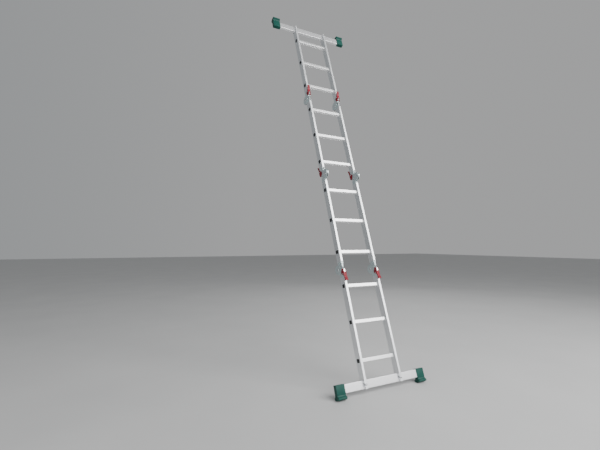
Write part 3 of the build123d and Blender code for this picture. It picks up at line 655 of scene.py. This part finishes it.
# %% Model a rivet and a guide pin, and fit them all
GRIP, DOME, HEAD, SHANK = 10.0, 2.2, 5.5, 3
rise_above = [(0, DOME), (1.8, 2.1), (3.4, 1.75), (4.7, 1.05), (HEAD, 0.15), (HEAD, 0)]
dome = [(r, GRIP + h) for r, h in rise_above]
rivet = turned("rivet", dome + [(SHANK, GRIP), (SHANK, -GRIP)] + [(r, -h) for r, h in reversed(dome)], 24)
tip = [(0, 8.1), (2.6, 8.1), (SHANK, 7.7)]
guide_pin = turned("guide_pin", tip + [(r, -h) for r, h in reversed(tip)], 24)
for number in range(1, 5):
    copies = []
    for low, high in solids(f"section_{number}_rivets"):
        shape = rivet if high.x - low.x > 2 * GRIP else guide_pin
        copies.append(placed(shape, lean @ frame_of(Y, Z, X, (low + high) / 2)))
    made = joined(copies, f"section_{number}_domed_rivets")
    gap = fit(made, f"section_{number}_domed_rivets", f"section_{number}_rivets")
    print("section", number, "has", len(copies), "rivets and pins, which differ by", gap, "mm")
bpy.data.objects.remove(rivet)
bpy.data.objects.remove(guide_pin)

# %% [markdown]
# The bar is held by a bolt through each stile, with a low domed head that has a six-sided socket,
# a nut, and a tube each side of the bar to fill the fork. A nut starts as a six-sided prism; its
# corners are taken off by keeping only what lies inside a turned disc with sloping rims.

# %% A nut, and the bar's bolts
NUT_RIM, BROKEN_EDGE = 1.3, 0.4


def nut(name, across_flats, low, high, bore):
    """A nut along Z, its corners turned off at both ends."""
    half = across_flats / 2
    reach = half / cos(pi / 6)
    made = rod(reach, 0, 0, low, high, 6)
    made.name = name
    rims = [
        (0, low), (half - 0.2, low), (reach + 0.2, low + NUT_RIM),
        (reach + 0.2, high - NUT_RIM), (half - 0.2, high), (0, high),
    ]
    combine(made, turned("rims", rims, 48), "INTERSECT")
    combine(made, rod(bore, 0, 0, low - 1, high + 1))
    return soften(made, 0.25, 2)


def tube(name, radius, bore, low, high):
    """A plain tube along Z with broken edges."""
    wall = [
        (bore, low), (radius - BROKEN_EDGE, low), (radius, low + BROKEN_EDGE),
        (radius, high - BROKEN_EDGE), (radius - BROKEN_EDGE, high), (bore, high), (bore, low),
    ]
    return turned(name, wall)


SEAT = 30  # where the head and the nut sit, from the bar's middle
BOLT_RADIUS, BOLT_BORE = 4, 4.2
BAR_SIDE, STILE_WALL, SPACER_RADIUS = 12.5, 28.2, 8.0
bolt_head = [(0, 35), (4.2, 34.8), (6.4, 34.0), (8.2, 32.3), (9, 30.5), (9, SEAT)]
bolt_stem = [(BOLT_RADIUS, SEAT), (BOLT_RADIUS, -38), (3.4, -38.5), (0, -38.5)]
bolt = turned("bar_bolt", bolt_head + bolt_stem, 40)
combine(bolt, rod(3.4, 0, 0, 32, 36, 6))
fixing = [bolt, nut("bar_nut", 13.0, -36.5, -SEAT, BOLT_BORE)]
for low, high in ((BAR_SIDE, STILE_WALL), (-STILE_WALL, -BAR_SIDE)):
    fixing.append(tube("spacer", SPACER_RADIUS, BOLT_BORE, low, high))
bar_fixing = joined(fixing, "bar_fixing")

stile_low, stile_high = solids("section_1_right_stile")[0]
STILE_X = (stile_low.x + stile_high.x) / 2
for level, height in bar_middle.items():
    copies = [placed(bar_fixing, lean @ frame_of(X, Z, -Y, (way * STILE_X, 0, height))) for way in (-1, 1)]
    made = joined(copies, f"{level}_bar_bolts")
    print(level, "bar bolts differ by", fit(made, f"{level}_bar_bolts", f"{level}_bar_fixings"), "mm")
bpy.data.objects.remove(bar_fixing)

# %% [markdown]
# Everything on a hinge is placed from its pin. U runs along the stile that carries the lever, V out
# of the face on the lever's side, and N across the stile. Two hinges fold one way and the middle one
# folds the other, so each has its own matrix, which is worked out from its joints.

# %% A frame for each hinge
FACE = 72.0  # the stile's face from the pin, along V


def hinge_frame(name, side):
    """The matrix from a hinge's U, V and N, in millimetres, to its place."""
    fold = -joints[f"{name}_hinge_fold"]["axis"][0]
    press = Vector(joints[f"{name}_{side}_lever_press"]["pos_m"])
    lever = 1 if (press - pin_at[name]).dot(along) > 0 else -1
    pin = lean.inverted() @ pin_at[name]
    pin.x = STILE_X if side == "right" else -STILE_X
    return lean @ frame_of(lever * Z, -fold * Y, lever * fold * X, pin)


hinges = [(name, side) for name in ("lower", "middle", "upper") for side in ("left", "right")]
CATCH_ALONG, CATCH_PROUD = 22.0, 3.0  # the lock bolt's cross pin, in the lever's fork
LEVER_ARM = 26.4  # from that cross pin to the pin that the lever turns on
catch = Vector((CATCH_ALONG, FACE + CATCH_PROUD))
bolt_way = catch.normalized()
bolt_across = Vector((bolt_way.y, -bolt_way.x))
fulcrum = catch + bolt_across * LEVER_ARM
print("the lever turns", [round(value, 1) for value in fulcrum], "mm from the hinge pin")

# %% [markdown]
# The red lever is a moulding with a fork at one end, which straddles the lock bolt's tab, ears that
# reach down to its pin, and a blade to press at the other. It is drawn from the side, with rounded
# corners, extruded to its width, and softened while it is still whole. The fork, the hollow under
# the skin, the thumb grooves, the hole for its pin and the slot for the lock bolt's cross pin are
# cut from it.

# %% Model one lever
LEVER_HALF, LEVER_HOLLOW, FORK_DEPTH = 12.8, 8.4, 36
BLADE_SLOPE = radians(14)
GROOVES, FIRST_GROOVE, GROOVE_PITCH, GROOVE_HALF = 5, 82, 4, 9.5
PIN_HOLE, SLOT_HALF = 3.1, 2.75
side_view = [
    (5, -9), (5, 5), (24, 10), (60, 9.5), (104, 20.5), (103, 15),
    (68, 5.8), (57, -5), (51, -17), (42, -26), (32, -26), (15, -15),
]
lever = extruded("lever", [(u, FACE + proud) for u, proud in side_view], -LEVER_HALF, LEVER_HALF, 1.9)
soften(lever, 0.7)
combine(lever, block((-1, 14, -LEVER_HOLLOW), (FORK_DEPTH, 150, LEVER_HOLLOW)))
hollow = [(30, 14), (30, FACE + 5.8), (60, FACE + 5.5), (66, FACE + 5.6), (66, 14)]
combine(lever, extruded("hollow", hollow, -LEVER_HOLLOW, LEVER_HOLLOW))
for step in range(GROOVES):
    u = FIRST_GROOVE + GROOVE_PITCH * step
    top = FACE + 9.5 + (u - 60) * tan(BLADE_SLOPE)
    low, high = (u - 0.8, top - 0.9, -GROOVE_HALF), (u + 0.8, top + 0.9, GROOVE_HALF)
    combine(lever, block(low, high, BLADE_SLOPE))
combine(lever, rod(PIN_HOLE, fulcrum.x, fulcrum.y, -20, 20))
for reach in (-0.5, 0.1, 0.7, 1.3):
    end = catch - bolt_across * reach
    combine(lever, rod(SLOT_HALF, end.x, end.y, -20, 20))
print("the lever has", len(lever.data.polygons), "faces")

# %% Fit the six levers
for name, side in hinges:
    made = placed(lever, hinge_frame(name, side))
    gap = fit(made, f"{name}_{side}_red_lever", f"{name}_{side}_lever")
    print(name, side, "lever differs by", gap, "mm")
bpy.data.objects.remove(lever)

# %% [markdown]
# The pivot bolt has a broad low head outside and a nut inside, and the lever's pin is a stepped pin
# with a small head at each end. All but the nut are turned.

# %% Model the hinge's pins, and fit them
PIVOT_RADIUS, PIVOT_END, PIVOT_SEAT = 6, 14.1, 8.1
pivot_profile = [
    (0, PIVOT_END), (5.4, PIVOT_END), (PIVOT_RADIUS, 13.5), (PIVOT_RADIUS, 12.1), (10.1, 12.1),
    (11.4, 10.8), (12, 8.8), (12, PIVOT_SEAT), (PIVOT_RADIUS, PIVOT_SEAT),
    (PIVOT_RADIUS, -13.5), (5.4, -PIVOT_END), (0, -PIVOT_END),
]
pivot_nut = nut("pivot_nut", 19.0, -13.1, -PIVOT_SEAT, 6.05)
pivot = joined([turned("pivot", pivot_profile, 48), pivot_nut], "pivot")
tip = [(0, 14.4), (3.2, 14.4), (4.1, 14.0), (4.5, 13.1), (4.5, 12.9), (3, 12.9)]
lever_pin = turned("lever_pin", tip + [(r, -h) for r, h in reversed(tip)])
lever_pin.data.transform(Matrix.Translation((fulcrum.x, fulcrum.y, 0)))
turn_over = Matrix.Rotation(pi, 4, "X")
for name in pin_at:
    copies = []
    for side, way in (("left", -1), ("right", 1)):
        place = hinge_frame(name, side)
        faces_out = place.to_3x3().col[2].x * way > 0
        copies.append(placed(pivot, place if faces_out else place @ turn_over))
        copies.append(placed(lever_pin, place))
    made = joined(copies, f"{name}_pivot_bolts")
    print(name, "pins differ by", fit(made, f"{name}_pivot_bolts", f"{name}_hinge_pins"), "mm")
bpy.data.objects.remove(pivot)
bpy.data.objects.remove(lever_pin)

# %% [markdown]
# The spring that lifts a lever is a coil of wire round its pin, with a leg under the blade and a leg
# behind the lock bolt's guide. Wire is a curve with a round section, whose points are worked out as
# a helix and which is made a mesh at the end. The leg under the blade turns with the lever, so it is
# a piece of its own that rides on the lever. That is why the coil alone measures several
# millimetres less than the design's spring.

# %% Wind one spring, and fit them
WIRE, RING, LAYER, TURNS, POINTS = 0.8, 5.1, 4.2, 4.5, 120
GUIDE_REACH, GUIDE_SIDE, SHORT_LEG = 56, 9.2, 4.6  # the leg behind the lock bolt's guide


def wound(name, route):
    """A wire with a round section along some points, as a mesh."""
    path = bpy.data.curves.new(name, "CURVE")
    path.dimensions = "3D"
    path.bevel_depth = WIRE
    path.bevel_resolution = 3
    path.use_fill_caps = True
    strand = path.splines.new("POLY")
    strand.points.add(len(route) - 1)
    for point, place in zip(strand.points, route):
        point.co = (*place, 1)
    made = bpy.data.objects.new(name, path)
    bpy.context.scene.collection.objects.link(made)
    hold(made)
    bpy.ops.object.convert(target="MESH")
    bpy.ops.object.mode_set(mode="EDIT")
    bpy.ops.mesh.select_all(action="SELECT")
    bpy.ops.mesh.remove_doubles(threshold=0.001)
    bpy.ops.mesh.normals_make_consistent(inside=False)
    bpy.ops.object.mode_set(mode="OBJECT")
    return bpy.context.object


coil = []
for step in range(POINTS + 1):
    share = step / POINTS
    angle = -pi / 2 + share * TURNS * 2 * pi
    u, v = fulcrum.x + RING * cos(angle), fulcrum.y + RING * sin(angle)
    coil.append((u, v, -LAYER + share * 2 * LAYER))
guide = bolt_way * GUIDE_REACH + bolt_across * GUIDE_SIDE
spring = wound("spring", [(guide.x + SHORT_LEG, guide.y, -LAYER), *coil])
leg = wound("leg", [coil[-1], (60, FACE + 3.9, LAYER)])
for name in pin_at:
    copies = [placed(spring, hinge_frame(name, side)) for side in ("left", "right")]
    made = joined(copies, f"{name}_wound_springs")
    print(name, "springs differ by", fit(made, f"{name}_wound_springs", f"{name}_lever_springs"), "mm")
    for side in ("left", "right"):
        made = placed(leg, hinge_frame(name, side))
        fit(made, f"{name}_{side}_spring_leg", f"{name}_lever_springs", f"{name}_{side}_lever")
bpy.data.objects.remove(spring)
bpy.data.objects.remove(leg)

# %% [markdown]
# The floor is plain and pale. The light is a studio's: one very large soft box high on the right,
# which the ladder's faces mirror as near white, a much weaker one on the left, one behind that
# draws a rim along the stiles, and a grey room that is darker on the left, so that side faces read
# darker than front ones.

# %% Floor, light and camera
bpy.ops.mesh.primitive_plane_add(size=60, location=(0, 0, 0))
floor = bpy.context.object
floor.name = "floor"
floor_finish, tree, shader = start_material("Floor")
place = wire(tree, "ShaderNodeTexCoord").outputs["Object"]
cloud = wire(tree, "ShaderNodeTexNoise", {"Vector": place, "Scale": 1.3, "Detail": 5}).outputs[0]
tree.links.new(blend(tree, cloud, (0.50, 0.50, 0.50, 1), (0.58, 0.58, 0.575, 1)), shader.inputs["Base Color"])
shader.inputs["Roughness"].default_value = 0.7
floor.data.materials.append(floor_finish)


def soft_box(name, where, aim, size, watts):
    """A square area light that looks at a point."""
    light = bpy.data.lights.new(name, "AREA")
    light.size = size
    light.energy = watts
    lamp = bpy.data.objects.new(name, light)
    lamp.location = where
    lamp.rotation_euler = (Vector(aim) - Vector(where)).to_track_quat("-Z", "Y").to_euler()
    bpy.context.scene.collection.objects.link(lamp)


middle = (cad_low + cad_high) / 2
soft_box("key", (1.9, -3.6, 4.2), middle, 5.0, 520)
soft_box("fill", (-4.5, -1.5, 2.6), middle, 3.0, 22)
soft_box("back", (3.4, 4.2, 3.6), middle, 3.0, 40)
world = bpy.data.worlds.new("Grey room")
world.use_nodes = True
tree = world.node_tree
around = wire(tree, "ShaderNodeTexCoord").outputs[0]
ways = wire(tree, "ShaderNodeSeparateXYZ", {0: around})
leftward = {"Value": ways.outputs[0], "From Min": -0.8, "From Max": 0.3, "To Max": 1}
share = wire(tree, "ShaderNodeMapRange", leftward).outputs[0]
room = blend(tree, share, (0.44, 0.47, 0.49, 1), (0.66, 0.665, 0.67, 1))
tree.links.new(room, tree.nodes["Background"].inputs["Color"])
tree.nodes["Background"].inputs["Strength"].default_value = 0.60
bpy.context.scene.world = world

camera = bpy.data.objects.new("camera", bpy.data.cameras.new("camera"))
camera.location = (-1.653, -1.993, 1.068)
camera.rotation_euler = (radians(90), 0, radians(-26.0))
camera.data.lens = 20.68
camera.data.shift_y = 0.033
bpy.context.scene.collection.objects.link(camera)
bpy.context.scene.camera = camera
print("the camera is", round((camera.location - middle).length, 2), "m from the ladder's middle")
